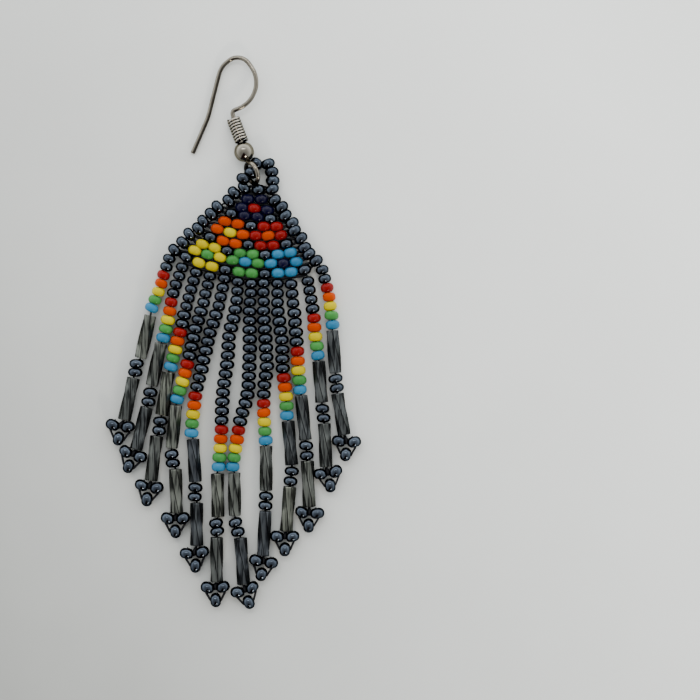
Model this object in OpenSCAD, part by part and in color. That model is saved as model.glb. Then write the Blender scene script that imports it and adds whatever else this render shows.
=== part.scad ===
// Beaded fringe earring, lying flat with its hook towards +Y and its fringe towards -Y.
// All sizes are in millimetres. The origin is at the middle of the floor that it lies on.

/* [Seed beads] */
// Width of a seed bead across its hole
bead_w = 2.1; // [1.9:0.05:2.2]
// Stretch of thread that one seed bead takes
bead_pitch = 1.5; // [1.3:0.05:1.6]
// Width of the tube that stands for a string of seed beads
string_w = 1.84; // [1.5:0.02:1.9]
// Width of the doubled beading thread
thread_w = 0.3; // [0.2:0.05:0.4]

/* [Bugle beads] */
// Width of a six-sided bugle bead over its corners
bugle_w = 1.95; // [1.6:0.05:1.95]
// Width of a bugle bead's hole over its corners
bugle_hole_w = 0.9; // [0.7:0.05:1.0]
// Turn of the six edges from one end to the other
bugle_twist = 65; // [0:5:120]

/* [Picot] */
// Distance from the middle of a three-bead tip to the middle of each bead
picot_r = 1.4; // [1.3:0.05:1.5]
// Width of the tube that stands for the three beads
picot_w = 1.7; // [1.4:0.05:1.75]

/* [Bead loop] */
// Width of the tube that stands for the six beads of the hanging loop
loop_w = 1.6; // [1.3:0.05:1.6]

/* [Ear wire] */
// Width of the ear wire
wire_w = 0.7; // [0.6:0.05:0.75]
// Straight end of the ear wire that goes through the ear
tip_len = 5.3; // [5.1:0.1:7]
// Radius of the closed ring at the foot of the ear wire, to the middle of its wire
ring_r = 1.7; // [1.65:0.05:1.75]
// Turn of the ring about the stem, away from the plane of the hook
ring_turn = 54; // [40:1:54]
// Lean of the ring to the right of the stem's line
ring_lean = 8; // [0:1:8]

/* [Ball and coil] */
// Width of the ball on the stem
ball_w = 3.2; // [2.9:0.1:3.3]
// Width of the hole through the ball
ball_hole_w = 1; // [0.9:0.02:1]
// Width of the coil on the stem
coil_w = 2.1; // [1.8:0.1:2.2]
// Width of the coil's wire
coil_wire_w = 0.42; // [0.3:0.02:0.44]
// Distance from one turn of the coil to the next
coil_pitch = 0.47; // [0.45:0.01:0.48]
// Number of turns of the coil
coil_turns = 8.5; // [5:0.5:8.5]

/* [Hidden] */
$fn = 48;
tube_sides = 8;
bugle_sides = 6;
bugle_steps = 5;
coil_sides = 6;
coil_steps = 12;
picot_steps = 10;
picot_half_arc = 135;

// Half the length of a seed bead along its thread, less a hair between neighbours
bead_half = 0.46 * bead_pitch;
// Strings and bugles lie on the floor side by side, so they share one height
lie_z = bugle_w / 2;
thread_r = thread_w / 2;
string_r = string_w / 2 / cos(180 / tube_sides);
picot_tube_r = picot_w / 2 / cos(180 / tube_sides);
loop_tube_r = loop_w / 2 / cos(180 / tube_sides);
// Thread that shows below a bugle before it turns into the picot
thread_drop = 0.2;

// Middle of the ball, where the stem of the ear wire is set out from
ball_at = [1.8, 28.7, 1.6];
// The stem leans to the left of +Y, and dips towards the hook so that the bow lies low
stem_lean = 17;
stem_dip = 4.5;
// The hook is rolled about the stem until its tip is down on the floor
hook_roll = 7.4;
// The coil's first turn sits round the shoulder of the ball
coil_sink = 0.1;
// The coil is loose on the stem and leans this much more than the stem does
coil_lean = 4;
// From the middle of the ball to the middle of the ring before it leans
ring_drop = 3.64;
// The stem is a hair thinner where it runs into the ring's wire
neck_w = wire_w - 0.04;
// Bends of the ear wire from the ball to the tip: straight run, radius, turn to the left
BENDS = [
    [6.3, 0.6, -87],
    [0.6, 4.4, 105.5],
    [0.7, 2.3, 93],
    [0.4, 3.6, 37],
    [6.2, 11, -9.5],
    [tip_len, 0, 0]
];
// Each bend is a hair thinner than the straights and runs this far into them
bend_w = wire_w - 0.01;
bend_lap = 0.05;

// Outline of the woven panel, round from the tab under the left of the loop, clockwise
PANEL = [
    [0.9, 23.35], [2.0, 23.25], [2.3, 23.0], [4.4, 23.0], [5.4, 23.2], [7.3, 23.1],
    [7.6, 21.8], [8.8, 20.4], [10.3, 17.9], [11.8, 15.4], [13.0, 13.3], [14.2, 12.0],
    [14.1, 11.2], [13.1, 10.65], [11.4, 9.2], [9.3, 8.7], [7.2, 8.65], [5.1, 8.8],
    [3.1, 8.7], [1.1, 8.95], [-1.0, 9.4], [-3.3, 9.9], [-5.4, 10.4], [-7.5, 11.3],
    [-9.0, 12.35], [-9.9, 12.75], [-10.2, 13.6], [-6.4, 17.2], [-3.0, 20.3], [-0.8, 22.1]
];

// Middles of the beads of the hanging loop, from the left of the panel to its right
LOOP = [
    [1.7, 24.4, 2.3], [2.95, 25.3, 1.95], [3.8, 26.9, 0.95],
    [5.6, 26.85, 0.95], [6.2, 25.55, 0.95], [6.35, 24.15, 0.95]
];
// End of the loop's thread, just clear of the panel
LOOP_LEFT_END = [1.6, 23.6, 1.7];

// Each strand of the fringe, from left to right:
// route of its seed beads; upper bugle, top and foot; the two spacer beads;
// lower bugle, top and foot; picot, middle and the turn of its low bead from straight down
RUN = 0;
UPPER = 1;
SPACERS = 2;
LOWER = 3;
PICOT = 4;
STRANDS = [
    [[[-10.2, 11.7], [-11.1, 9.0], [-12.0, 6.2], [-13.0, 3.8]],
        [[-13.2, 2.6], [-14.8, -4.2]], [[-15.4, -5.1], [-15.6, -6.5]],
        [[-15.9, -7.4], [-17.4, -14.1]], [-18.1, -15.7, -8]],
    [[[-8.1, 10.3], [-9.6, 6.1], [-10.3, 2.2], [-11.1, -1.0]],
        [[-11.5, -1.9], [-13.0, -8.6]], [[-13.2, -9.7], [-13.5, -11.2]],
        [[-13.8, -12.1], [-15.5, -18.8]], [-16.2, -20.2, -20]],
    [[[-5.9, 9.5], [-7.1, 5.4], [-8.2, 1.0], [-9.2, -2.9], [-9.9, -5.6]],
        [[-10.3, -6.5], [-11.4, -13.3]], [[-11.6, -14.3], [-11.8, -15.8]],
        [[-12.2, -16.7], [-13.1, -23.8]], [-13.5, -25.4, -10]],
    [[[-3.7, 8.9], [-4.9, 4.0], [-6.0, 0.4], [-7.0, -4.0], [-8.1, -8.1], [-8.9, -10.8]],
        [[-9.1, -11.8], [-9.8, -18.6]], [[-9.8, -19.6], [-9.6, -21.0]],
        [[-9.2, -22.0], [-9.0, -29.0]], [-9.2, -30.5, 0]],
    [[[-1.4, 8.5], [-2.3, 4.0], [-3.7, -0.3], [-4.7, -4.6], [-5.8, -9.2], [-6.4, -13.3], [-6.6, -16.2]],
        [[-6.4, -17.2], [-6.0, -24.0]], [[-6.0, -24.9], [-6.1, -26.4]],
        [[-5.8, -27.4], [-5.8, -34.2]], [-6.1, -36.0, 5]],
    [[[0.8, 8.0], [0.4, 3.6], [-0.6, -0.6], [-0.9, -5.1], [-1.6, -9.7], [-1.8, -14.2], [-2.0, -18.4], [-2.3, -21.6]],
        [[-2.5, -22.7], [-2.4, -29.6]], [[-2.7, -30.6], [-2.5, -31.9]],
        [[-2.6, -32.9], [-2.6, -40.0]], [-2.8, -41.5, 2]],
    [[[2.9, 7.7], [2.7, 3.4], [2.7, -1.1], [2.6, -5.6], [2.4, -9.8], [1.2, -14.1], [0.4, -18.7], [0.0, -21.6]],
        [[0.2, -22.6], [0.3, -29.4]], [[0.4, -30.5], [0.8, -32.0]],
        [[1.2, -33.0], [1.7, -40.4]], [2.1, -41.9, 18]],
    [[[4.9, 7.8], [4.9, 3.3], [5.2, -1.4], [5.4, -5.7], [4.9, -10.1], [5.0, -14.6], [5.2, -17.4]],
        [[5.3, -18.3], [5.3, -25.4]], [[5.3, -26.3], [5.2, -27.8]],
        [[5.2, -28.7], [4.8, -35.8]], [4.8, -37.4, -10]],
    [[[7.1, 7.7], [7.2, 3.2], [7.8, -1.5], [8.0, -6.0], [8.5, -10.7], [8.6, -13.4]],
        [[8.8, -14.3], [9.4, -21.3]], [[9.4, -22.3], [9.2, -23.9]],
        [[9.1, -24.8], [8.5, -31.9]], [8.3, -33.4, 0]],
    [[[9.3, 7.6], [9.8, 2.9], [10.2, -1.8], [10.5, -6.4], [10.7, -9.3]],
        [[10.9, -10.2], [11.6, -17.3]], [[11.7, -18.2], [11.8, -19.8]],
        [[11.9, -20.7], [12.2, -28.0]], [12.2, -29.6, -4]],
    [[[12.0, 8.1], [12.8, 3.3], [13.2, -1.0], [13.6, -3.8]],
        [[13.7, -4.7], [14.2, -11.3]], [[14.3, -12.3], [14.5, -13.8]],
        [[14.6, -14.7], [14.9, -21.6]], [15.3, -23.2, 10]],
    [[[14.3, 9.9], [15.1, 6.9], [15.6, 4.0], [15.9, 1.1]],
        [[15.9, 0.2], [16.4, -6.6]], [[16.4, -7.5], [16.6, -9.0]],
        [[16.7, -9.9], [17.8, -16.5]], [18.1, -18.22, -3]]
];

// A strand's number as two digits
function two_digits(i) = str(i < 9 ? "0" : "", i + 1);
STRAND_NUMBERS = [for (i = [0 : len(STRANDS) - 1]) i];

function unit(v) = v / norm(v);
function at_lie_z(p) = [p[0], p[1], lie_z];

// One ring of a swept tube: a flat-bottomed polygon square to the tube's direction
function ring_points(at, r, dir, sides, first_angle) =
    let (side = unit(cross(dir, [0, 0, 1])), up = cross(side, dir))
    [for (k = [0 : sides - 1]) let (a = first_angle + k * 360 / sides) at + r * (cos(a) * side + sin(a) * up)];

// Side walls between rings that follow each other, each with the same number of corners
function wall_faces(rings, sides) = [
    for (i = [0 : rings - 2], k = [0 : sides - 1])
        let (a = i * sides + k, b = i * sides + (k + 1) % sides)
        each [[a, b, b + sides], [a, b + sides, a + sides]]
];

// A closed tube through stations, each of which is its middle, its radius and its direction
module tube(stations) {
    last = (len(stations) - 1) * tube_sides;
    points = [for (s = stations) each ring_points(s[0], s[1], s[2], tube_sides, 180 / tube_sides)];
    start_cap = [[for (k = [tube_sides - 1 : -1 : 0]) k]];
    end_cap = [[for (k = [0 : tube_sides - 1]) last + k]];
    polyhedron(points, concat(start_cap, wall_faces(len(stations), tube_sides), end_cap));
}

// Stations of a stretch of beads, half a bead longer at both ends than its bead middles
function bead_stations(run, r) =
    let (
        n = len(run),
        first = unit(run[1] - run[0]),
        final = unit(run[n - 1] - run[n - 2])
    )
    concat(
        [[run[0] - bead_half * first, r, first]],
        [for (i = [1 : 1 : n - 2]) [run[i], r, unit(run[i + 1] - run[i - 1])]],
        [[run[n - 1] + bead_half * final, r, final]]
    );

// The same station with the tube narrowed to the thread
function bare(station) = [station[0], thread_r, station[2]];

// Stations of the bare thread inside a bugle
function bugle_stations(ends) =
    let (dir = unit(ends[1] - ends[0]))
    [[ends[0], thread_r, dir], [ends[1], thread_r, dir]];

// Stations round the picot, from its left bead under its low bead to its right bead
function picot_stations(picot) = [
    for (i = [0 : picot_steps])
        let (a = picot[2] - picot_half_arc + 2 * picot_half_arc * i / picot_steps)
        [
            [picot[0] + picot_r * sin(a), picot[1] - picot_r * cos(a), lie_z],
            picot_tube_r,
            [cos(a), sin(a), 0]
        ]
];

function strand_stations(strand) =
    let (
        run = bead_stations([for (p = strand[RUN]) at_lie_z(p)], string_r),
        upper = bugle_stations([for (p = strand[UPPER]) at_lie_z(p)]),
        spacers = bead_stations([for (p = strand[SPACERS]) at_lie_z(p)], string_r),
        lower = bugle_stations([for (p = strand[LOWER]) at_lie_z(p)]),
        foot = lower[1],
        picot = picot_stations(strand[PICOT])
    )
    concat(
        run, [bare(run[len(run) - 1])],
        upper,
        [bare(spacers[0])], spacers, [bare(spacers[1])],
        lower, [[foot[0] + thread_drop * foot[2], thread_r, foot[2]]],
        [bare(picot[0])], picot
    );

// One string of the fringe: seed beads, bare thread through two bugles, spacers and picot
module fringe_string(i) {
    color("#2b2e38") tube(strand_stations(STRANDS[i]));
}

// A six-sided glass tube whose edges wind round it, drilled from end to end
module bugle(ends) {
    top = at_lie_z(ends[0]);
    foot = at_lie_z(ends[1]);
    dir = unit(foot - top);
    rings = bugle_steps + 1;
    outer = [
        for (i = [0 : bugle_steps])
            each ring_points(top + (foot - top) * i / bugle_steps, bugle_w / 2, dir,
                bugle_sides, bugle_twist * i / bugle_steps)
    ];
    inner = [
        for (i = [0 : bugle_steps])
            each ring_points(top + (foot - top) * i / bugle_steps, bugle_hole_w / 2, dir,
                bugle_sides, bugle_twist * i / bugle_steps)
    ];
    shift = len(outer);
    inner_walls = [for (f = wall_faces(rings, bugle_sides)) [f[2] + shift, f[1] + shift, f[0] + shift]];
    top_cap = [
        for (k = [0 : bugle_sides - 1])
            let (next = (k + 1) % bugle_sides)
            each [[next, k, k + shift], [next, k + shift, next + shift]]
    ];
    last = bugle_steps * bugle_sides;
    foot_cap = [for (f = top_cap) [f[2] + last, f[1] + last, f[0] + last]];
    color("#3c3f45")
        polyhedron(concat(outer, inner), concat(wall_faces(rings, bugle_sides), inner_walls, top_cap, foot_cap));
}

// The woven panel of seed beads, as thick as one bead
module bead_panel() {
    color("#2b2e38") linear_extrude(bead_w) polygon(PANEL);
}

// The loop of six beads that hangs the panel from the ring
module bead_loop() {
    left = LOOP[0];
    left_dir = unit(LOOP[1] - LOOP_LEFT_END);
    run = bead_stations(LOOP, loop_tube_r);
    left_end = [left - bead_half * left_dir, loop_tube_r, left_dir];
    rest = [for (i = [1 : len(run) - 1]) run[i]];
    color("#2b2e38")
        tube(concat([[LOOP_LEFT_END, thread_r, left_dir], bare(left_end), left_end], rest));
}

// Sets the ear wire's own frame: the stem along +Y from the middle of the ball
module on_stem() {
    translate(ball_at)
        rotate([0, 0, stem_lean])
            rotate([-stem_dip, 0, 0])
                rotate([0, -hook_roll, 0])
                    children();
}

// Wire along +Y from the origin, then bent to the left or right, row after row
module bent_wire(rows) {
    run = rows[0][0];
    radius = rows[0][1];
    turn = rows[0][2];
    s = sign(turn);
    lap = radius > 0 ? bend_lap / radius * 180 / PI : 0;
    rotate([-90, 0, 0]) cylinder(h = run, d = wire_w);
    translate([0, run, 0]) {
        if (radius > 0)
            mirror([s < 0 ? 1 : 0, 0, 0])
                translate([-radius, 0, 0])
                    rotate([0, 0, -lap])
                        rotate_extrude(angle = abs(turn) + 2 * lap) translate([radius, 0]) circle(d = bend_w);
        if (len(rows) > 1)
            translate([-s * radius, 0, 0])
                rotate([0, 0, turn])
                    translate([s * radius, 0, 0])
                        bent_wire([for (i = [1 : len(rows) - 1]) rows[i]]);
    }
}

// Stem, bow and straight tip of the hook, with the ring at its foot
module ear_wire() {
    neck = ring_drop - ring_r;
    color("#a8a49c") on_stem() {
        bent_wire(BENDS);
        translate([0, -neck, 0]) rotate([-90, 0, 0]) cylinder(h = neck, d = neck_w);
        translate([0, ring_r - ring_drop, 0])
            rotate([0, 0, ring_lean])
                translate([0, -ring_r, 0])
                    rotate([0, -ring_turn, 0])
                        rotate_extrude() translate([ring_r, 0]) circle(d = wire_w);
    }
}

// Fine wire wound round the stem between the ball and the first bend
module wire_coil() {
    r = (coil_w - coil_wire_w) / 2;
    first_y = ball_w / 2 + coil_wire_w / 2 - coil_sink;
    middle_y = first_y + coil_pitch * coil_turns / 2;
    steps = coil_turns * coil_steps;
    rise = coil_pitch / 360;
    points = [
        for (i = [0 : steps], k = [0 : coil_sides - 1])
            let (
                a = i * 360 / coil_steps,
                b = k * 360 / coil_sides,
                reach = r + coil_wire_w / 2 * cos(b)
            )
            [reach * cos(a), first_y + rise * a + coil_wire_w / 2 * sin(b), -reach * sin(a)]
    ];
    last = steps * coil_sides;
    start_cap = [[for (k = [coil_sides - 1 : -1 : 0]) k]];
    end_cap = [[for (k = [0 : coil_sides - 1]) last + k]];
    color("#a8a49c") on_stem()
        translate([0, middle_y, 0]) rotate([0, 0, coil_lean]) translate([0, -middle_y, 0])
            polyhedron(points, concat(start_cap, wall_faces(steps + 1, coil_sides), end_cap));
}

// Metal ball, drilled through and threaded on the stem
module ball_bead() {
    color("#b4b0a8") on_stem()
        difference() {
            sphere(d = ball_w);
            rotate([90, 0, 0]) cylinder(h = 2 * ball_w, d = ball_hole_w, center = true);
        }
}

ear_wire();
wire_coil();
ball_bead();
bead_loop();
bead_panel();
for (i = STRAND_NUMBERS) {
    fringe_string(i);
    bugle(STRANDS[i][UPPER]);
    bugle(STRANDS[i][LOWER]);
}
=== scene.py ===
"""Beaded fringe earring, lying on a pale table and seen from straight above, as in the photograph.

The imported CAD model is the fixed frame. Its tubes and its plate stand for strings of seed beads, and the
beads themselves replace them here, on their black thread. The earring's sizes are in millimetres, with X to
the right and Y up the picture, and the room's are in metres.
"""
import math
import random

import bpy
from mathutils import Matrix, Vector


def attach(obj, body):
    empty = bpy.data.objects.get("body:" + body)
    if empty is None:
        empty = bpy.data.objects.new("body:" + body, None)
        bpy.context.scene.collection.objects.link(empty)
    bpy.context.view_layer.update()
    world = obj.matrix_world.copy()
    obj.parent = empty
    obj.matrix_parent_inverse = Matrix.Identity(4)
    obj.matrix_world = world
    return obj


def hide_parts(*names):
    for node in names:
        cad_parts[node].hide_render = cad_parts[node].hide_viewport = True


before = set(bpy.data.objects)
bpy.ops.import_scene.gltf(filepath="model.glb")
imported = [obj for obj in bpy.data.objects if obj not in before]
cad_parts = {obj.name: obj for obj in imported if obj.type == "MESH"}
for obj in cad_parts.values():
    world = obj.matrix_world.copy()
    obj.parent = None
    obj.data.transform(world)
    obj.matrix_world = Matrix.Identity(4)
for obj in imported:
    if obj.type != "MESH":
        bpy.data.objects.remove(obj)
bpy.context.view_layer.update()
scene = bpy.context.scene

# Camera: straight above the table and square to it. At the height of the beads the picture is 112 mm wide,
# as the photograph is, and the earring hangs left of its middle.
SENSOR_W = 36
VIEW_HEIGHT, BEAD_HEIGHT, PICTURE_W = 0.28, 0.001, 0.112
camera_data = bpy.data.cameras.new("camera")
camera_data.sensor_width = SENSOR_W
camera_data.lens = SENSOR_W * (VIEW_HEIGHT - BEAD_HEIGHT) / PICTURE_W
camera_data.clip_start = 0.01
camera = bpy.data.objects.new("camera", camera_data)
camera.location = (0.01872, -0.00293, VIEW_HEIGHT)
scene.collection.objects.link(camera)
scene.camera = camera

# Table: a wide board with a coat of pale paint, on which the earring lies flat. It is part of the stage, and
# its top is a hair below the beads.
MM = 0.001
TABLE_HALF_W, TABLE_Z = 2.5, -0.02 * MM


def linear(hex_colour):
    """Turns an sRGB hex colour into linear RGBA."""
    parts = [int(hex_colour[i:i + 2], 16) / 255 for i in (1, 3, 5)]
    return [c / 12.92 if c <= 0.04045 else ((c + 0.055) / 1.055) ** 2.4 for c in parts] + [1.0]


def start_material(name, values):
    """Starts a material, and sets what is the same all over it on the shader's own sockets."""
    material = bpy.data.materials.new(name)
    material.use_nodes = True
    shader = material.node_tree.nodes["Principled BSDF"]
    for socket, value in values.items():
        shader.inputs[socket].default_value = value
    return material, material.node_tree, shader


def add_node(tree, kind, inputs=None, links=None, **settings):
    """Adds a node with its settings, its input values and its links from other nodes' outputs."""
    node = tree.nodes.new(kind)
    for name, value in settings.items():
        setattr(node, name, value)
    for name, value in (inputs or {}).items():
        node.inputs[name].default_value = value
    for name, socket in (links or {}).items():
        tree.links.new(socket, node.inputs[name])
    return node


# Matt paint: it spreads the light evenly and has next to no gloss. Painted light makes it paler towards the
# upper right, and it has slow patches about 26 mm across. Its tooth is finer than 0.1 mm, and is drawn at 0.4
# mm so that it shows.
PAINTED_LIGHT_TOWARDS, PATCHINESS = (6.2, 4.6, 0), 0.14
table_mat, tree, shader = start_material("painted_table", {"Roughness": 0.7, "Specular IOR Level": 0.08})
here = add_node(tree, "ShaderNodeTexCoord").outputs["Object"]
mottle = add_node(tree, "ShaderNodeTexNoise", {"Scale": 0.038 / MM, "Detail": 3}, {"Vector": here})
# Painted light: this sweep lightens the board towards the upper right and darkens it towards the lower left.
painted_light_sweep = add_node(tree, "ShaderNodeVectorMath", {1: PAINTED_LIGHT_TOWARDS}, {0: here}, operation="DOT_PRODUCT")
patch = add_node(tree, "ShaderNodeMath", {1: PATCHINESS},
                 {0: mottle.outputs["Fac"], 2: painted_light_sweep.outputs["Value"]}, operation="MULTIPLY_ADD")
lift = add_node(tree, "ShaderNodeMapRange", {"From Min": -0.42, "From Max": 0.62},
                {"Value": patch.outputs["Value"]})
tint = add_node(tree, "ShaderNodeMix", {6: linear("#9c9d98"), 7: linear("#fafcf6")},
                {0: lift.outputs["Result"]}, data_type="RGBA")
tree.links.new(tint.outputs[2], shader.inputs["Base Color"])
tooth = add_node(tree, "ShaderNodeTexNoise", {"Scale": 2.6 / MM, "Detail": 2}, {"Vector": here})
bump = add_node(tree, "ShaderNodeBump", {"Strength": 0.08, "Distance": 0.1 * MM},
                {"Height": tooth.outputs["Fac"]})
tree.links.new(bump.outputs["Normal"], shader.inputs["Normal"])

corners = [(x * TABLE_HALF_W, y * TABLE_HALF_W, 0) for x, y in ((-1, -1), (1, -1), (1, 1), (-1, 1))]
table_mesh = bpy.data.meshes.new("table")
table_mesh.from_pydata(corners, [], [(0, 1, 2, 3)])
table_mesh.materials.append(table_mat)
table = bpy.data.objects.new("table", table_mesh)
table.location.z = TABLE_Z
scene.collection.objects.link(table)

# Room light: a pale ceiling and brighter walls, brightest towards the top of the picture. Something dark and
# warm hides a wedge of the wall at the foot of the picture. The sky's direction is read, never the camera.
DARK_MIDDLE_X, DARK_SPREAD = 0.03, 1.3
LAMP_DISTANCE = 1.2
world = bpy.data.worlds.new("room")
world.use_nodes = True
scene.world = world
tree = world.node_tree
direction = add_node(tree, "ShaderNodeTexCoord")
axes = add_node(tree, "ShaderNodeSeparateXYZ", links={"Vector": direction.outputs["Generated"]})
walls = add_node(tree, "ShaderNodeMapRange",
                 {"From Min": 0.1, "From Max": 0.95, "To Min": 3.2, "To Max": 1.3},
                 {"Value": axes.outputs["Z"]}, interpolation_type="SMOOTHSTEP")
upward = add_node(tree, "ShaderNodeMapRange",
                  {"From Min": -0.9, "From Max": 0.8, "To Min": 0.4, "To Max": 1.35},
                  {"Value": axes.outputs["Y"]}, interpolation_type="SMOOTHSTEP")
uneven = add_node(tree, "ShaderNodeMath", links={0: walls.outputs["Result"], 1: upward.outputs["Result"]},
                  operation="MULTIPLY")
offset = add_node(tree, "ShaderNodeMath", {1: DARK_MIDDLE_X}, {0: axes.outputs["X"]}, operation="SUBTRACT")
aside = add_node(tree, "ShaderNodeMath", links={0: offset.outputs["Value"]}, operation="ABSOLUTE")
wedge = add_node(tree, "ShaderNodeMath", {1: DARK_SPREAD}, {0: aside.outputs["Value"], 2: axes.outputs["Y"]},
                 operation="MULTIPLY_ADD")
hidden = add_node(tree, "ShaderNodeMapRange",
                  {"From Min": -0.3, "From Max": -0.1, "To Min": 1.0, "To Max": 0.0},
                  {"Value": wedge.outputs["Value"]}, interpolation_type="SMOOTHSTEP")
glow = add_node(tree, "ShaderNodeVectorMath", {0: linear("#f4f7fb")[:3]}, {"Scale": uneven.outputs["Value"]},
                operation="SCALE")
sky = add_node(tree, "ShaderNodeMix", {7: linear("#3c1a12")},
               {0: hidden.outputs["Result"], 6: glow.outputs["Vector"]}, data_type="RGBA")
tree.links.new(sky.outputs[2], tree.nodes["Background"].inputs["Color"])


def add_lamp(name, towards, size, power, colour):
    """Adds a rectangular lamp that stands in a direction and faces the earring."""
    data = bpy.data.lights.new(name, "AREA")
    data.shape = "RECTANGLE"
    data.size, data.size_y = size
    data.energy = power
    data.color = linear(colour)[:3]
    lamp = bpy.data.objects.new(name, data)
    spot = Vector(towards).normalized() * LAMP_DISTANCE
    lamp.location = spot
    lamp.rotation_euler = spot.to_track_quat("Z", "Y").to_euler()
    scene.collection.objects.link(lamp)


# The window is long and narrow, and gives the beads their bright spots. The lamp stands low at the foot.
add_lamp("long_window", towards=(-0.05, 0.6, 1), size=(0.9, 0.06), power=3.9, colour="#ffffff")
add_lamp("low_lamp", towards=(0.33, -0.87, 0.42), size=(0.24, 0.12), power=5.6, colour="#fff6ea")

# Seed beads: short lengths of drawn glass tube, tumbled in heat until their edges are round, and threaded by
# their hole. No two are alike: each has its own oval, lean and tone, and "tone" is stored on its vertices.
BEAD_SIDES, BEAD_STEPS, BEAD_REACH = 28, 16, 86
BEAD_OVAL, BEAD_LEAN = 0.015, 0.03
TONE_SHARE = 0.65


def bead_glass(name, pale, deep, roughness, lustre=False, clear=0.0):
    """Bead glass between a deep and a pale tone. With a lustre it mirrors as a metal does."""
    # The gloss of a clearer glass is nearer to white, and that of a cloudy one is nearer to its own colour.
    gloss = [c + clear * (1 - c) for c in linear(pale)]
    values = {"IOR": 1.52, "Specular IOR Level": 0.25, "Specular Tint": gloss}
    if lustre:
        values = {"Metallic": 1.0, "Specular Tint": linear("#101014")}
    material, tree, shader = start_material(name, values)
    here = add_node(tree, "ShaderNodeTexCoord").outputs["Object"]
    # Clouds in the glass about 0.7 mm across, which is a third of a bead.
    cloud = add_node(tree, "ShaderNodeTexNoise", {"Scale": 1.5 / MM, "Detail": 2}, {"Vector": here})
    tone = add_node(tree, "ShaderNodeAttribute", attribute_name="tone")
    own = add_node(tree, "ShaderNodeMath", {1: TONE_SHARE}, {0: tone.outputs["Fac"]}, operation="MULTIPLY")
    spread = add_node(tree, "ShaderNodeMath", {1: 1 - TONE_SHARE},
                      {0: cloud.outputs["Fac"], 2: own.outputs["Value"]}, operation="MULTIPLY_ADD")
    colour = add_node(tree, "ShaderNodeMix", {6: linear(deep), 7: linear(pale)}, {0: spread.outputs["Value"]},
                      data_type="RGBA")
    tree.links.new(colour.outputs[2], shader.inputs["Base Color"])
    polish = add_node(tree, "ShaderNodeMapRange", {"To Min": roughness * 0.7, "To Max": roughness * 1.3},
                      {"Value": cloud.outputs["Fac"]})
    tree.links.new(polish.outputs["Result"], shader.inputs["Roughness"])
    # A faint swell about 0.6 mm long, which bends the reflections.
    swell = add_node(tree, "ShaderNodeTexNoise", {"Scale": 1.7 / MM, "Detail": 1}, {"Vector": here})
    bump = add_node(tree, "ShaderNodeBump", {"Strength": 0.05, "Distance": 0.2 * MM},
                    {"Height": swell.outputs["Fac"]})
    tree.links.new(bump.outputs["Normal"], shader.inputs["Normal"])
    return material


# Hematite lustre is a metal film fired onto black glass, and gives a dark blue mirror. The other glass is
# coloured through, so it shows its colour evenly under a fire-polished gloss.
GLASS = {
    "K": bead_glass("hematite_lustre_glass", "#3e454d", "#2f343b", 0.1, lustre=True),
    "N": bead_glass("opaque_navy_glass", "#060524", "#040217", 0.18, clear=0.5),
    "R": bead_glass("opaque_red_glass", "#780805", "#650402", 0.15, clear=0.35),
    "O": bead_glass("opaque_orange_glass", "#a73b00", "#922b00", 0.15),
    "Y": bead_glass("opaque_yellow_glass", "#b5a700", "#a28f00", 0.15),
    "G": bead_glass("opaque_green_glass", "#387b37", "#2c662d", 0.15, clear=0.4),
    "B": bead_glass("opaque_blue_glass", "#296d8f", "#1f5c7c", 0.15, clear=0.4),
}


def bead_outline(width, length, roundness):
    """Closed outline of a bead's section, as (distance from the hole's axis, place along it)."""
    half, middle, hole = length / 2, 0.18 * width, 0.2 * width
    points = []
    for k in range(BEAD_STEPS + 1):
        t = math.radians(-BEAD_REACH + 2 * BEAD_REACH * k / BEAD_STEPS)
        out = middle + (width / 2 - middle) * math.cos(t) ** (2 / roundness)
        along = half * abs(math.sin(t)) ** (2 / roundness)
        points.append((max(out, hole * 1.05), math.copysign(along, t)))
    return points + [(hole, half * 0.8), (hole, -half * 0.8)]


def square_frame(axis):
    """An axis at unit length, and two directions square to it, of which the first stays level if it can."""
    axis = Vector(axis).normalized()
    side = axis.cross(Vector((0, 0, 1)))
    side = side.normalized() if side.length > 1e-3 else Vector((1, 0, 0))
    return axis, side, side.cross(axis)


def skin(first, rings, sides, closed):
    """Four-sided faces between rings of points that follow each other, and round to the first if closed."""
    faces = []
    for i in range(rings if closed else rings - 1):
        a = first + i * sides
        b = first + (i + 1) % rings * sides
        for k in range(sides):
            nxt = (k + 1) % sides
            faces.append((a + k, a + nxt, b + nxt, b + k))
    return faces


def add_piece(name, points, faces, materials, **on_vertices):
    """Makes a piece from points in millimetres. Its four-sided faces are smooth, and its end caps flat."""
    mesh = bpy.data.meshes.new(name)
    mesh.from_pydata([p * MM for p in points], [], faces)
    for material in materials:
        mesh.materials.append(material)
    for label, values in on_vertices.items():
        mesh.attributes.new(label, "FLOAT", "POINT").data.foreach_set("value", values)
    mesh.polygons.foreach_set("use_smooth", [len(face) == 4 for face in faces])
    mesh.update()
    piece = bpy.data.objects.new(name, mesh)
    scene.collection.objects.link(piece)
    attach(piece, "root")
    return piece


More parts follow.
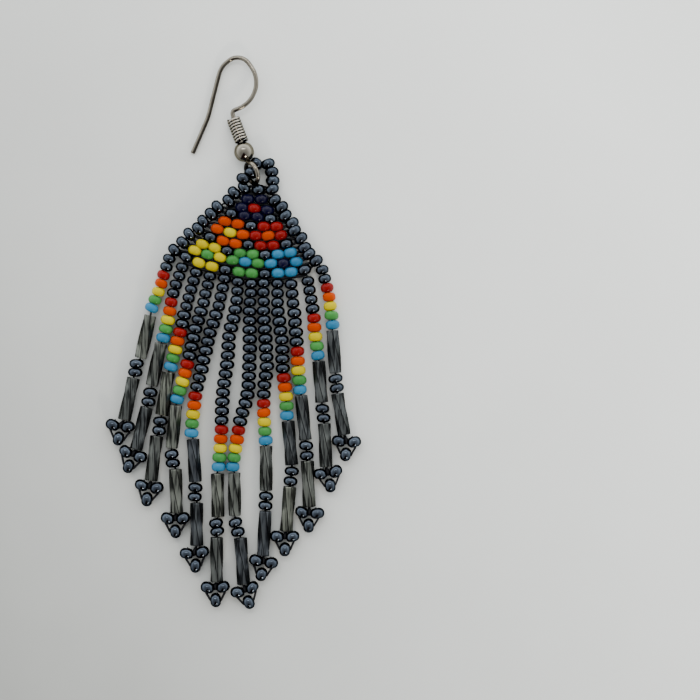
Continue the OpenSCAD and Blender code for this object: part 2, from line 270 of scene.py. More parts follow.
class BeadMesh:
    """Collects seed beads into one mesh, with a material for each colour and a tone for each bead."""

    def __init__(self):
        self.points, self.faces, self.tones = [], [], []
        self.colours, self.on_faces = [], []

    def add(self, rng, at, axis, width, length, colour, roundness=2.0):
        if colour not in self.colours:
            self.colours.append(colour)
        outline = bead_outline(width, length, roundness)
        axis, side, up = square_frame(axis)
        oval = 1 + rng.uniform(-BEAD_OVAL, BEAD_OVAL)
        lean = rng.uniform(-BEAD_LEAN, BEAD_LEAN)
        faces = skin(len(self.points), BEAD_SIDES, len(outline), closed=True)
        for k in range(BEAD_SIDES):
            a = 2 * math.pi * k / BEAD_SIDES
            out = math.cos(a) * oval * side + math.sin(a) / oval * up
            for r, along in outline:
                self.points.append(Vector(at) + out * r + axis * (along + lean * r * math.cos(a)))
        self.faces += faces
        self.on_faces += [self.colours.index(colour)] * len(faces)
        self.tones += [rng.random()] * (BEAD_SIDES * len(outline))

    def build(self, name):
        materials = [GLASS[colour] for colour in self.colours]
        piece = add_piece(name, self.points, self.faces, materials, tone=self.tones)
        piece.data.polygons.foreach_set("material_index", self.on_faces)
        piece.data.update()
        return piece


# Thread: black bonded nylon, doubled in the fringe. It runs through the hole of every bead, and shows between
# them and where it turns at the tips.
THREAD_SIDES, THREAD_R = 6, 0.15


def smooth_path(points, step):
    """Points and ways along a smooth curve through the given points. A whole step is the number of them."""
    p = [Vector(q) for q in points]
    p = [2 * p[0] - p[1]] + p + [2 * p[-1] - p[-2]]
    between = 24
    dense = []
    for i in range(1, len(p) - 2):
        slope = p[i + 1] - p[i - 1]
        bend = 2 * p[i - 1] - 5 * p[i] + 4 * p[i + 1] - p[i + 2]
        twist = 3 * p[i] - p[i - 1] - 3 * p[i + 1] + p[i + 2]
        for k in range(between):
            t = k / between
            dense.append(0.5 * (2 * p[i] + slope * t + bend * t * t + twist * t ** 3))
    dense.append(p[-2])
    reach = [0.0]
    for a, b in zip(dense, dense[1:]):
        reach.append(reach[-1] + (b - a).length)
    count = step if isinstance(step, int) else max(2, round(reach[-1] / step) + 1)
    out, j = [], 0
    for k in range(count):
        want = reach[-1] * k / (count - 1)
        while j < len(dense) - 2 and reach[j + 1] < want:
            j += 1
        t = (want - reach[j]) / max(reach[j + 1] - reach[j], 1e-9)
        out.append((dense[j].lerp(dense[j + 1], min(t, 1.0)), (dense[j + 1] - dense[j]).normalized()))
    return out


class TubeMesh:
    """Collects round tubes swept along paths into one mesh."""

    def __init__(self, sides):
        self.sides, self.points, self.faces = sides, [], []

    def add(self, path, radius, scales=None):
        path = [Vector(q) for q in path]
        first, count, side = len(self.points), len(path), None
        for i, at in enumerate(path):
            way = (path[min(i + 1, count - 1)] - path[max(i - 1, 0)]).normalized()
            if side is None:
                side = square_frame(way)[1]
            side = (side - way * side.dot(way)).normalized()
            up = side.cross(way)
            r = radius * (scales[i] if scales else 1)
            for k in range(self.sides):
                a = 2 * math.pi * k / self.sides
                self.points.append(at + r * (math.cos(a) * side + math.sin(a) * up))
        last = first + (count - 1) * self.sides
        self.faces += skin(first, count, self.sides, closed=False)
        self.faces.append(tuple(first + k for k in reversed(range(self.sides))))
        self.faces.append(tuple(last + k for k in range(self.sides)))

    def add_smooth(self, stops, step, radius):
        self.add([q for q, _ in smooth_path(stops, step)], radius)

    def build(self, name, material, **on_vertices):
        return add_piece(name, self.points, self.faces, [material], **on_vertices)


# Bonded nylon, twisted from fine filaments: a soft black with hardly any gloss. Its filaments are far finer
# than the picture shows, and are drawn as a bump about 0.11 mm long.
thread_mat, tree, shader = start_material("black_nylon_thread",
                                          {"Roughness": 0.7, "Specular IOR Level": 0.15})
here = add_node(tree, "ShaderNodeTexCoord").outputs["Object"]
fibre = add_node(tree, "ShaderNodeTexNoise", {"Scale": 9 / MM, "Detail": 3}, {"Vector": here})
shade = add_node(tree, "ShaderNodeMix", {6: linear("#050506"), 7: linear("#131418")},
                 {0: fibre.outputs["Fac"]}, data_type="RGBA")
tree.links.new(shade.outputs[2], shader.inputs["Base Color"])
bump = add_node(tree, "ShaderNodeBump", {"Strength": 0.5, "Distance": 0.05 * MM},
                {"Height": fibre.outputs["Fac"]})
tree.links.new(bump.outputs["Normal"], shader.inputs["Normal"])

# Woven panel: 75 seed beads in ten rows of brick stitch, sewn together bead by bead. A row has its colours,
# its left edge bead, the first and last of the beads between, its right edge bead, and how far its middle
# sags. K is dark lustre, N navy, R red, O orange, Y yellow, G green and B blue.
PANEL_ROWS = [
    ["KKK", (1.8, 23.0), (4.1, 22.7), (4.1, 22.7), (6.3, 22.8), 0.0],
    ["KNNK", (0.2, 22.2), (2.4, 21.2), (4.6, 21.2), (6.7, 21.0), 0.0],
    ["KNRNK", (-0.7, 20.9), (1.4, 19.8), (5.5, 19.4), (7.8, 19.9), -0.1],
    ["KKNNKK", (-2.4, 19.9), (-0.2, 18.9), (6.0, 18.0), (8.3, 18.5), 0.0],
    ["KOOKRRK", (-3.5, 18.8), (-1.3, 17.6), (7.0, 16.8), (9.4, 17.4), 0.3],
    ["KOYORORK", (-4.7, 17.7), (-2.5, 16.4), (7.7, 15.4), (9.8, 16.1), 0.5],
    ["KKOOKRRKK", (-5.6, 16.5), (-3.6, 15.1), (8.5, 14.0), (10.9, 14.9), 0.7],
    ["KYYKGGKBBK", (-7.0, 15.6), (-4.9, 14.0), (9.2, 12.6), (11.4, 13.4), 0.9],
    ["KYGYGBGBNBK", (-8.0, 14.3), (-6.1, 13.0), (10.1, 11.1), (12.2, 12.4), 0.9],
    ["KKYYKGGKBBKK", (-9.3, 13.1), (-7.5, 11.9), (11.4, 9.9), (13.3, 11.3), 1.5],
]
PANEL_Z = 1.19
LEFT_EDGE_AXIS, RIGHT_EDGE_AXIS = Vector((-0.75, -0.66, 0)), Vector((0.56, -0.83, 0))
EDGE_BEAD_W, EDGE_BEAD_LENGTH = (2.26, 2.36), (1.54, 1.62)
INNER_BEAD_W, INNER_BEAD_LENGTH = (2.16, 2.24), (1.46, 1.54)
PANEL_SHIFT, PANEL_RISE, PANEL_TURN, PANEL_TILT = 0.05, (-0.03, 0.06), 7, 6
BEAD_MOUTH = 0.78
STITCH_HOP, STITCH_R, EDGE_STITCH_R = 0.05, 0.27, 0.22


def rotation(degrees, axis="Z", size=3):
    """The matrix of a turn about an axis."""
    return Matrix.Rotation(math.radians(degrees), size, axis)


def either_way(rng, most):
    """A random number from minus the most to the most."""
    return rng.uniform(-most, most)


rng = random.Random(11)
panel = BeadMesh()
panel_thread = TubeMesh(THREAD_SIDES)
edge_chains = [[], []]
for colours, left, first, last, right, sag in PANEL_ROWS:
    first, last = Vector(first), Vector(last)
    inner = len(colours) - 2
    across = max((last - first).x, 0.1)
    row = [(Vector((*left, PANEL_Z)), LEFT_EDGE_AXIS)]
    for k in range(inner):
        t = k / (inner - 1) if inner > 1 else 0.0
        at = first.lerp(last, t)
        at.y -= 4 * sag * t * (1 - t)
        slope = (last - first).y / across - 4 * sag * (1 - 2 * t) / across
        row.append((Vector((*at, PANEL_Z)), Vector((slope, -1, 0)).normalized()))
    row.append((Vector((*right, PANEL_Z)), RIGHT_EDGE_AXIS))
    ends = []
    for i, (at, axis) in enumerate(row):
        shift = either_way(rng, PANEL_SHIFT), either_way(rng, PANEL_SHIFT), rng.uniform(*PANEL_RISE)
        at = at + Vector(shift)
        turn = rotation(either_way(rng, PANEL_TURN)) @ rotation(either_way(rng, PANEL_TILT), "X")
        axis = turn @ axis
        on_edge = i in (0, len(row) - 1)
        width = rng.uniform(*(EDGE_BEAD_W if on_edge else INNER_BEAD_W))
        length = rng.uniform(*(EDGE_BEAD_LENGTH if on_edge else INNER_BEAD_LENGTH))
        panel.add(rng, at, axis, width, length, colours[i])
        ends.append((at - axis * BEAD_MOUTH, at, at + axis * BEAD_MOUTH))
    edge_chains[0].append(ends[0][1])
    edge_chains[1].append(ends[-1][1])
    # Stitches hop from bead to bead above and below the row, and join each edge bead to its neighbour.
    for (top_a, mid_a, foot_a), (top_b, mid_b, foot_b) in zip(ends[1:-1], ends[2:-1]):
        for a, b, hop in ((top_a, top_b, STITCH_HOP), (foot_a, foot_b, -STITCH_HOP)):
            crest = (a + b) / 2 + Vector((0, hop, 0))
            panel_thread.add_smooth([mid_a, a, crest, b, mid_b], 0.3, STITCH_R)
    for (_, edge, _), (top, mid, foot) in ((ends[0], ends[1]), (ends[-1], ends[-2])):
        for a in (top, foot):
            panel_thread.add([edge, (edge + a) / 2, a, mid], EDGE_STITCH_R)
bottom_row = ends
for chain in edge_chains:
    panel_thread.add_smooth(chain, 0.4, THREAD_R)
panel_piece = panel.build("panel_beads")
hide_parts("bead_panel")
panel_thread.build("panel_thread", thread_mat)

# Hanging loop: six dark seed beads on a thread that goes up from the left of the panel, through the ring of
# the ear wire, and down to the right of the panel. Each bead has its place and the way that its hole runs.
LOOP_BEADS = [
    [(1.7, 24.4, 2.3), (0.15, 1, -0.1)],
    [(2.95, 25.3, 1.95), (0.4, 0.9, -0.25)],
    [(3.8, 26.9, 1.15), (0.6, 0.8, -0.1)],
    [(5.6, 26.85, 1.15), (0.4, -0.9, 0)],
    [(6.2, 25.55, 1.15), (0.2, -1, 0)],
    [(6.35, 24.15, 1.15), (0, -1, 0)],
]
LOOP_BEAD_W, LOOP_BEAD_LENGTH = (2.18, 2.28), (1.5, 1.58)
LOOP_START, LOOP_END = [(1.8, 22.3, 1.05), (1.6, 23.6, 1.8)], [(6.3, 22.8, 1.05)]
rng = random.Random(12)
loop = BeadMesh()
for at, way in LOOP_BEADS:
    loop.add(rng, at, way, rng.uniform(*LOOP_BEAD_W), rng.uniform(*LOOP_BEAD_LENGTH), "K")
loop_piece = loop.build("loop_beads")
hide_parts("bead_loop")
loop_thread = TubeMesh(THREAD_SIDES)
loop_thread.add_smooth(LOOP_START + [at for at, _ in LOOP_BEADS] + LOOP_END, 0.3, THREAD_R)
loop_thread.build("loop_thread", thread_mat)

# Bugles: six-sided glass tube, twisted while it was drawn, cut to 7 mm and ground at the ends. Two of them
# hang in each strand of the fringe, on the thread through their bore.
BUGLE_Z, BUGLE_W, BUGLE_BORE, BUGLE_TWIST = 1.05, 2.1, 0.9, 66
BUGLE_CORNER_R, RIDGE_DEPTH, BUGLE_STEPS = 0.16, 0.012, 40

# Drawn glass with a gunmetal lustre: a dull mirror, browner than the seed beads. Drawing leaves fine lines
# along it, which are drawn 0.3 mm wide so that they show. The ridges, where "ridge" is 1, carry painted shade
# as dark lines.
bugle_mat, tree, shader = start_material("gunmetal_bugle_glass",
                                         {"Metallic": 0.92, "Specular Tint": linear("#101014")})
here = add_node(tree, "ShaderNodeTexCoord").outputs["Object"]
stretch = add_node(tree, "ShaderNodeMapping", {"Scale": (3.6 / MM, 0.26 / MM, 3.6 / MM)}, {"Vector": here})
drawn = add_node(tree, "ShaderNodeTexNoise", {"Scale": 1, "Detail": 3}, {"Vector": stretch.outputs["Vector"]})
streak = add_node(tree, "ShaderNodeMapRange",
                  {"From Min": 0.38, "From Max": 0.54, "To Min": 0.22, "To Max": 1.2},
                  {"Value": drawn.outputs["Fac"]})
tone = add_node(tree, "ShaderNodeAttribute", attribute_name="tone")
both = add_node(tree, "ShaderNodeMath", {1: 0.5}, {0: drawn.outputs["Fac"], 2: tone.outputs["Fac"]},
                operation="MULTIPLY_ADD")
span = add_node(tree, "ShaderNodeMapRange", {"From Min": 0.2, "From Max": 1.3},
                {"Value": both.outputs["Value"]})
colour = add_node(tree, "ShaderNodeValToRGB", links={"Fac": span.outputs["Result"]})
colour.color_ramp.elements[0].color = linear("#32353a")
colour.color_ramp.elements[1].color = linear("#5a5c53")
# Painted shade: the ridges are darkened to near black along the facets' edges.
ridge = add_node(tree, "ShaderNodeAttribute", attribute_name="ridge")
painted_ridge_shade = add_node(tree, "ShaderNodeMix", {7: linear("#090a0b")},
                {0: ridge.outputs["Fac"], 6: colour.outputs["Color"]}, data_type="RGBA")
streaked = add_node(tree, "ShaderNodeVectorMath",
                    links={0: painted_ridge_shade.outputs[2], "Scale": streak.outputs["Result"]}, operation="SCALE")
tree.links.new(streaked.outputs["Vector"], shader.inputs["Base Color"])
polish = add_node(tree, "ShaderNodeMapRange", {"To Min": 0.24, "To Max": 0.42},
                  {"Value": drawn.outputs["Fac"]})
tree.links.new(polish.outputs["Result"], shader.inputs["Roughness"])
bump = add_node(tree, "ShaderNodeBump", {"Strength": 0.3, "Distance": 0.1 * MM},
                {"Height": drawn.outputs["Fac"]})
tree.links.new(bump.outputs["Normal"], shader.inputs["Normal"])


def bugle_section():
    """A hexagon with rounded corners, as a list of points."""
    def away(angle):
        return Vector((math.cos(angle), math.sin(angle)))

    reach = BUGLE_W / 2 - BUGLE_CORNER_R
    points = []
    for k in range(6):
        corner = math.radians(60 * k)
        at, far = away(corner) * reach, away(corner + math.radians(60)) * reach
        points += [at + away(corner + math.radians(off)) * BUGLE_CORNER_R for off in (-30, -15, 0, 15, 30)]
        flat = away(corner + math.radians(30)) * BUGLE_CORNER_R
        points += [at.lerp(far, t) + flat for t in (0.04, 0.5, 0.96)]
    return points


def add_bugle(rng, name, ends, node):
    """Adds a bugle between two ends, with a turn and a tone of its own, and gives the ends in three axes."""
    top, foot = (Vector((*end, BUGLE_Z)) for end in ends)
    axis, side, up = square_frame(foot - top)
    length = (foot - top).length
    start = rng.uniform(0, 60)
    section = bugle_section()
    # Each ring of points has its place from 0 to 1, its size, and whether it is the edge of the bore.
    rings = [(0.0, 0.6, True), (0.0, 0.96, False)]
    rings += [(0.012 + 0.976 * k / BUGLE_STEPS, 1.0, False) for k in range(BUGLE_STEPS + 1)]
    rings += [(1.0, 0.96, False), (1.0, 0.6, True)]
    points, ridges = [], []
    for t, size, bore in rings:
        turn = Matrix.Rotation(math.radians(start + BUGLE_TWIST * t), 2)
        for p in section:
            q = turn @ (p.normalized() * BUGLE_BORE / 2 if bore else p * size)
            points.append(top + axis * (length * t) + q.x * side + q.y * up)
            ridges.append(1.0 if p.length > BUGLE_W / 2 - RIDGE_DEPTH else 0.0)
    tones = [rng.random()] * len(points)
    faces = skin(0, len(rings), len(section), closed=True)
    piece = add_piece(name, points, faces, [bugle_mat], tone=tones, ridge=ridges)
    piece.data.set_sharp_from_angle(angle=math.radians(35))
    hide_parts(node)
    return top, foot


# Fringe: twelve strands that hang from the panel's last row, each with a tip of three beads. A strand has its
# number of dark beads, which red, orange, yellow, green and blue follow, the route of its beads, its upper
# bugle, its two spacer beads, its lower bugle, and the middle and turn of its tip, as in the CAD model.
STRANDS = [
    [2, [(-10.2, 11.7), (-11.1, 9.0), (-12.0, 6.2), (-13.0, 3.8)],
     [(-13.2, 2.6), (-14.8, -4.2)], [(-15.4, -5.1), (-15.6, -6.5)], [(-15.9, -7.4), (-17.4, -14.1)],
     (-18.1, -15.7, -8)],
    [4, [(-8.1, 10.3), (-9.6, 6.1), (-10.3, 2.2), (-11.1, -1.0)],
     [(-11.5, -1.9), (-13.0, -8.6)], [(-13.2, -9.7), (-13.5, -11.2)], [(-13.8, -12.1), (-15.5, -18.8)],
     (-16.2, -20.2, -20)],
    [7, [(-5.9, 9.5), (-7.1, 5.4), (-8.2, 1.0), (-9.2, -2.9), (-9.9, -5.6)],
     [(-10.3, -6.5), (-11.4, -13.3)], [(-11.6, -14.3), (-11.8, -15.8)], [(-12.2, -16.7), (-13.1, -23.8)],
     (-13.5, -25.4, -10)],
    [10, [(-3.7, 8.9), (-4.9, 4.0), (-6.0, 0.4), (-7.0, -4.0), (-8.1, -8.1), (-8.9, -10.8)],
     [(-9.1, -11.8), (-9.8, -18.6)], [(-9.8, -19.6), (-9.6, -21.0)], [(-9.2, -22.0), (-9.0, -29.0)],
     (-9.2, -30.5, 0)],
    [13, [(-1.4, 8.5), (-2.3, 4.0), (-3.7, -0.3), (-4.7, -4.6), (-5.8, -9.2), (-6.4, -13.3), (-6.6, -16.2)],
     [(-6.4, -17.2), (-6.0, -24.0)], [(-6.0, -24.9), (-6.1, -26.4)], [(-5.8, -27.4), (-5.8, -34.2)],
     (-6.1, -36.0, 5)],
    [16, [(0.8, 8.0), (0.4, 3.6), (-0.6, -0.6), (-0.9, -5.1), (-1.6, -9.7), (-1.8, -14.2), (-2.0, -18.4),
          (-2.3, -21.6)],
     [(-2.5, -22.7), (-2.4, -29.6)], [(-2.7, -30.6), (-2.5, -31.9)], [(-2.6, -32.9), (-2.6, -40.0)],
     (-2.8, -41.5, 2)],
    [16, [(2.9, 7.7), (2.7, 3.4), (2.7, -1.1), (2.6, -5.6), (2.4, -9.8), (1.2, -14.1), (0.4, -18.7),
          (0.0, -21.6)],
     [(0.2, -22.6), (0.3, -29.4)], [(0.4, -30.5), (0.8, -32.0)], [(1.2, -33.0), (1.7, -40.4)],
     (2.1, -41.9, 18)],
    [13, [(4.9, 7.8), (4.9, 3.3), (5.2, -1.4), (5.4, -5.7), (4.9, -10.1), (5.0, -14.6), (5.2, -17.4)],
     [(5.3, -18.3), (5.3, -25.4)], [(5.3, -26.3), (5.2, -27.8)], [(5.2, -28.7), (4.8, -35.8)],
     (4.8, -37.4, -10)],
    [10, [(7.1, 7.7), (7.2, 3.2), (7.8, -1.5), (8.0, -6.0), (8.5, -10.7), (8.6, -13.4)],
     [(8.8, -14.3), (9.4, -21.3)], [(9.4, -22.3), (9.2, -23.9)], [(9.1, -24.8), (8.5, -31.9)],
     (8.3, -33.4, 0)],
    [7, [(9.3, 7.6), (9.8, 2.9), (10.2, -1.8), (10.5, -6.4), (10.7, -9.3)],
     [(10.9, -10.2), (11.6, -17.3)], [(11.7, -18.2), (11.8, -19.8)], [(11.9, -20.7), (12.2, -28.0)],
     (12.2, -29.6, -4)],
    [4, [(12.0, 8.1), (12.8, 3.3), (13.2, -1.0), (13.6, -3.8)],
     [(13.7, -4.7), (14.2, -11.3)], [(14.3, -12.3), (14.5, -13.8)], [(14.6, -14.7), (14.9, -21.6)],
     (15.3, -23.2, 10)],
    [2, [(14.3, 9.9), (15.1, 6.9), (15.6, 4.0), (15.9, 1.1)],
     [(15.9, 0.2), (16.4, -6.6)], [(16.4, -7.5), (16.6, -9.0)], [(16.7, -9.9), (17.8, -16.5)],
     (18.1, -18.22, -3)],
]
# A tip bead's place round the tip in degrees, and the way that its hole runs.
TIP_BEADS = [(-118, (-0.35, -0.94, 0)), (0, (1, 0, 0)), (118, (-0.35, 0.94, 0))]
THREAD_Z, TIP_Z, TIP_R = 1.03, 1.18, 1.4
CROWDED_BEAD_W, FREE_BEAD_W, DARK_EXTRA_W = (2.08, 2.14), (2.24, 2.36), 0.06
CROWDED_ABOVE, DARK_EXTRA_BELOW = 4, 1
BEAD_SHIFT, BEAD_RISE, BEAD_TURN, SHARE_OF_PITCH = 0.04, (0.02, 0.05), 5, (0.94, 0.985)
ROUND_BEAD, BLUNT_BEAD = 2.0, 2.3
SPACER_W, SPACER_LENGTH, SPACER_RISE, SPACER_TURN = (2.28, 2.38), (1.36, 1.46), 0.03, 6
TIP_BEAD_W, TIP_BEAD_LENGTH, TIP_MOUTH, TIP_BEAD_TURN = (2.22, 2.32), (1.62, 1.72), 0.86, 9
KNOT_RISE, KNOT_R, HOOP_R = 0.65, 0.36, 0.2
for i, (dark, route, upper, spacers, lower, (tip_x, tip_y, tip_turn)) in enumerate(STRANDS):
    number = f"{i + 1:02d}"
    rng = random.Random(100 + i)
    beads = BeadMesh()
    colours = "K" * dark + "ROYGB"
    stops = smooth_path([(x, y, THREAD_Z) for x, y in route], len(colours))
    pitch = (stops[1][0] - stops[0][0]).length
    for colour, (at, axis) in zip(colours, stops):
        width = rng.uniform(*(FREE_BEAD_W if at.y < CROWDED_ABOVE else CROWDED_BEAD_W))
        if colour == "K" and at.y < DARK_EXTRA_BELOW:
            width += DARK_EXTRA_W
        at = at + Vector((either_way(rng, BEAD_SHIFT), 0, width / 2 - THREAD_Z + rng.uniform(*BEAD_RISE)))
        axis = rotation(either_way(rng, BEAD_TURN)) @ axis
        length = pitch * rng.uniform(*SHARE_OF_PITCH)
        beads.add(rng, at, axis, width, length, colour, ROUND_BEAD if colour == "K" else BLUNT_BEAD)
    way = Vector((*spacers[1], 0)) - Vector((*spacers[0], 0))
    for x, y in spacers:
        width = rng.uniform(*SPACER_W)
        axis = rotation(either_way(rng, SPACER_TURN)) @ way
        beads.add(rng, (x, y, width / 2 + SPACER_RISE), axis, width, rng.uniform(*SPACER_LENGTH), "K")
    tip = Vector((tip_x, tip_y, TIP_Z))
    spin = rotation(tip_turn)
    hoop = []
    for place, way in TIP_BEADS:
        a = math.radians(place)
        at = tip + spin @ (TIP_R * Vector((math.sin(a), -math.cos(a), 0)))
        axis = spin @ rotation(either_way(rng, TIP_BEAD_TURN)) @ Vector(way)
        beads.add(rng, at, axis, rng.uniform(*TIP_BEAD_W), rng.uniform(*TIP_BEAD_LENGTH), "K")
        hoop += [at - axis * TIP_MOUTH, at, at + axis * TIP_MOUTH]
    piece = beads.build(f"strand_{number}_beads")
    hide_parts(f"fringe_string_{number}")
    upper_top, upper_foot = add_bugle(rng, f"strand_{number}_upper_bugle", upper, f"upper_bugle_{number}")
    lower_top, lower_foot = add_bugle(rng, f"strand_{number}_lower_bugle", lower, f"lower_bugle_{number}")
    # The thread runs from the panel to the foot of the lower bugle, and round the tip's beads to its knot.
    path = [bottom_row[i][1]] + [(x, y, THREAD_Z) for x, y in route] + [upper_top, upper_foot]
    path += [(x, y, THREAD_Z) for x, y in spacers] + [lower_top, lower_foot]
    thread = TubeMesh(THREAD_SIDES)
    thread.add_smooth(path, 0.4, THREAD_R)
    knot = tip + spin @ Vector((0, KNOT_RISE, 0))
    thread.add([lower_foot, knot] + hoop + [knot], HOOP_R)
    swelling = [lower_foot, knot + spin @ Vector((0, 0.2, 0)), knot, knot - spin @ Vector((0, 0.45, 0))]
    thread.add(swelling, KNOT_R, [0.5, 1, 1, 0.5])
    thread.build(f"strand_{number}_thread", thread_mat)

# Ear wire: one length of 0.7 mm nickel silver wire, bent cold. Its closed ring holds the loop of beads, its
# stem carries the ball and the coil, and its bow goes through the ear. A bend has the straight before it, its
# radius and its turn in degrees.
BENDS = [(6.3, 0.6, -87), (0.6, 4.4, 105.5), (0.7, 2.3, 93), (0.4, 3.6, 37), (6.2, 11, -9.5), (5.3, 0, 0)]
WIRE_W, WIRE_SIDES, RING_R, RING_DROP, RING_TILT, RING_LEAN = 0.7, 20, 1.7, 3.64, 54, 8
RING_START, RING_SWEEP, RING_STEPS = 60, 322, 72
NECK_BEND, NECK_TOP, NECK_STEP = 0.55, -1.0, 0.15
RING_END_SIZE, TIP_ROUND, TIP_END_SIZE = 0.8, 0.06, 0.72
PAINTED_SHADE_DEPTH, PAINTED_SHADE_RING_POINTS = 0.85, 46
LEG_RIGHT_X, LEG_FADE_W = 0.8, 3
SHADED_SIDE, SHADE_EDGE, SHADE_FADE = Vector((0.48, -0.15, 0.86)), 0.76, 0.16


def nickel_silver(name, pale, deep, edge, polish, lines_per_mm, line_depth):
    """Nickel silver with a cloudy tone and fine lines, darkened to a brown painted shade where its shade
    attribute is 1.
    """
    material, tree, shader = start_material(name, {"Metallic": 1.0, "Specular Tint": linear(edge)})
    here = add_node(tree, "ShaderNodeTexCoord").outputs["Object"]
    # Clouds of handling about 1.4 mm long, which is twice the wire's width.
    cloud = add_node(tree, "ShaderNodeTexNoise", {"Scale": 0.7 / MM, "Detail": 4}, {"Vector": here})
    colour = add_node(tree, "ShaderNodeMix", {6: linear(deep), 7: linear(pale)}, {0: cloud.outputs["Fac"]},
                      data_type="RGBA")
    # Painted shade: a dark brown is mixed into the colour where the shade attribute is 1.
    painted_shade_mask = add_node(tree, "ShaderNodeAttribute", attribute_name="tarnish")
    shaded_colour = add_node(tree, "ShaderNodeMix", {7: linear("#15110d")},
                      {0: painted_shade_mask.outputs["Fac"], 6: colour.outputs[2]}, data_type="RGBA")
    tree.links.new(shaded_colour.outputs[2], shader.inputs["Base Color"])
    gloss = add_node(tree, "ShaderNodeMapRange", {"To Min": polish[0], "To Max": polish[1]},
                     {"Value": cloud.outputs["Fac"]})
    tree.links.new(gloss.outputs["Result"], shader.inputs["Roughness"])
    lines = add_node(tree, "ShaderNodeTexNoise", {"Scale": lines_per_mm / MM, "Detail": 2}, {"Vector": here})
    bump = add_node(tree, "ShaderNodeBump", {"Strength": line_depth, "Distance": 0.05 * MM},
                    {"Height": lines.outputs["Fac"]})
    tree.links.new(bump.outputs["Normal"], shader.inputs["Normal"])
    return material


# Drawn wire keeps faint lines from the die, which are drawn 0.17 mm apart so that they show. Handling has
# dulled it to a grey brown, and painted shade makes its hidden and shaded sides darker still.
wire_mat = nickel_silver("drawn_nickel_silver", "#847f73", "#544e44", "#332e27", (0.08, 0.18), 6, 0.12)

# The stem's own frame, as in the CAD model: +Y runs up the stem from the middle of the ball.
on_stem = (Matrix.Translation((1.8, 28.7, 1.6)) @ rotation(17, "Z", 4) @ rotation(-4.5, "X", 4)
           @ rotation(-7.4, "Y", 4))
hook = []
at, heading = Vector((0, 0, 0)), 90.0
for run, radius, turn in BENDS:
    way = Vector((math.cos(math.radians(heading)), math.sin(math.radians(heading)), 0))
    steps = max(2, round(run / 0.4))
    hook += [at + way * (run * k / steps) for k in range(steps)]
    at = at + way * run
    if radius:
        centre = at + math.copysign(radius, turn) * Vector((-way.y, way.x, 0))
        steps = max(6, round(abs(turn) / 5))
        hook += [centre + rotation(turn * k / steps) @ (at - centre) for k in range(steps)]
        at = centre + rotation(turn) @ (at - centre)
        heading += turn
hook += [at - TIP_ROUND * way, at]
ring_top = RING_R - RING_DROP
tilt, lean = rotation(-RING_TILT, "Y"), rotation(RING_LEAN)
ring = []
for k in range(RING_STEPS + 1):
    a = math.radians(RING_START - RING_SWEEP * k / RING_STEPS)
    below_top = Vector((0, -RING_R, 0)) + tilt @ Vector((RING_R * math.cos(a), RING_R * math.sin(a), 0))
    ring.append(Vector((0, ring_top, 0)) + lean @ below_top)
neck = smooth_path([ring[0], (0, ring_top + NECK_BEND, 0), (0, NECK_TOP, 0)], NECK_STEP)
wire_path = list(reversed(ring)) + [q for q, _ in neck[1:]] + hook
sizes = [RING_END_SIZE] + [1.0] * (len(wire_path) - 2) + [TIP_END_SIZE]
wire = TubeMesh(WIRE_SIDES)
wire.add([on_stem @ q for q in wire_path], WIRE_W / 2, sizes)
# Painted shade covers the ring's hidden part, and grows down the leg of the bow on its shaded side.
# Painted shade: these values darken the ring's hidden part and the leg's side away from the light.
tarnish = []
for i, q in enumerate(wire_path):
    middle = on_stem @ q
    down_leg = min(1.0, max(0.0, (LEG_RIGHT_X - middle.x) / LEG_FADE_W)) if i > len(ring) else 0.0
    for point in wire.points[i * WIRE_SIDES:(i + 1) * WIRE_SIDES]:
        facing = (point - middle).normalized().dot(SHADED_SIDE)
        on_side = PAINTED_SHADE_DEPTH * down_leg * min(1.0, max(0.0, (facing - SHADE_EDGE) / SHADE_FADE))
        tarnish.append(PAINTED_SHADE_DEPTH if i < PAINTED_SHADE_RING_POINTS else on_side)
wire_piece = wire.build("hook_wire", wire_mat, tarnish=tarnish)
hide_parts("ear_wire")

# Coil: eight and a half turns of finer nickel silver wire, wound on a rod and slid onto the stem above the
# ball. It is loose, and leans a little more than the stem does.
COIL_W, COIL_WIRE_W, COIL_PITCH, COIL_TURNS, COIL_LEAN = 2.2, 0.4, 0.47, 8.5, 4
COIL_FOOT, COIL_SIDES, COIL_STEPS = 1.71, 16, 36
GROOVE_EDGE, GROOVE_FADE = 0.9, 0.3
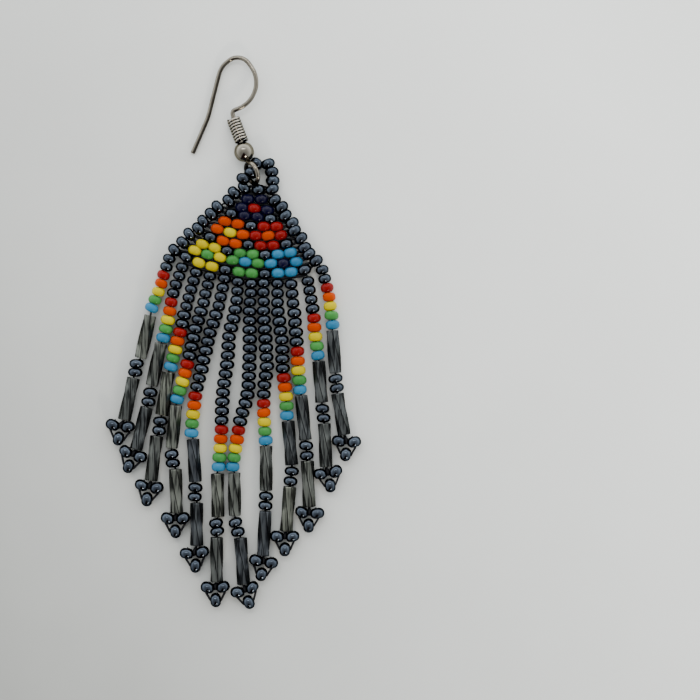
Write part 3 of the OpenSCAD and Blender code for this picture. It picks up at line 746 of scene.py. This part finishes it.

# Bright wire with next to no draw lines, paler than the hook. Painted shade darkens the grooves between its
# turns.
coil_mat = nickel_silver("bright_nickel_silver", "#b3ada0", "#8c8679", "#3a352d", (0.1, 0.16), 6, 0.05)
middle = Vector((0, COIL_FOOT + COIL_PITCH * COIL_TURNS / 2, 0))
on_coil = on_stem @ Matrix.Translation(middle) @ rotation(COIL_LEAN, "Z", 4) @ Matrix.Translation(-middle)
steps = round(COIL_TURNS * COIL_STEPS)
points, groove_shade = [], []
for i in range(steps + 1):
    a = 2 * math.pi * i / COIL_STEPS
    size = COIL_WIRE_W / 2 * (0.8 if i in (0, steps) else 1.0)
    for k in range(COIL_SIDES):
        b = 2 * math.pi * k / COIL_SIDES
        reach = (COIL_W - COIL_WIRE_W) / 2 + size * math.cos(b)
        along = COIL_FOOT + COIL_PITCH * i / COIL_STEPS + size * math.sin(b)
        points.append(on_coil @ Vector((reach * math.cos(a), along, -reach * math.sin(a))))
        # Painted shade: the sides of each turn that face their neighbours are darkened.
        groove_shade.append(max(0.0, min(1.0, (GROOVE_EDGE - math.cos(b)) / GROOVE_FADE)))
faces = skin(0, steps + 1, COIL_SIDES, closed=False)
faces.append(tuple(reversed(range(COIL_SIDES))))
faces.append(tuple(steps * COIL_SIDES + k for k in range(COIL_SIDES)))
coil_piece = add_piece("stem_coil", points, faces, [coil_mat], tarnish=groove_shade)
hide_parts("wire_coil")

# Ball: a hollow bead pressed from nickel silver sheet, with its edge rolled in round each hole. It is
# threaded on the stem, between the coil and the ring.
BALL_R, BALL_HOLE_R, ROLLED_R, ROLLED_DEPTHS = 1.6, 0.4, 0.37, (0.35, 0.08)
BALL_STEPS, BALL_SIDES = 40, 48

# Polished sheet: a smooth mirror, a little cloudy from handling, with scratches drawn 0.3 mm apart.
ball_mat = nickel_silver("polished_nickel_silver", "#7a766a", "#666156", "#c4c0b4", (0.1, 0.18), 3, 0.05)
lip = math.asin(BALL_HOLE_R / BALL_R)
outline = []
for k in range(BALL_STEPS + 1):
    a = lip + (math.pi - 2 * lip) * k / BALL_STEPS
    outline.append((BALL_R * math.sin(a), BALL_R * math.cos(a)))
edge = outline[0][1]
rolled = [(ROLLED_R, edge - depth) for depth in ROLLED_DEPTHS]
outline = rolled + outline + [(r, -along) for r, along in reversed(rolled)]
points = []
for r, along in outline:
    for k in range(BALL_SIDES):
        a = 2 * math.pi * k / BALL_SIDES
        points.append(on_stem @ Vector((r * math.cos(a), along, r * math.sin(a))))
faces = skin(0, len(outline), BALL_SIDES, closed=False)
ball_piece = add_piece("stem_ball", points, faces, [ball_mat])
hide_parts("ball_bead")
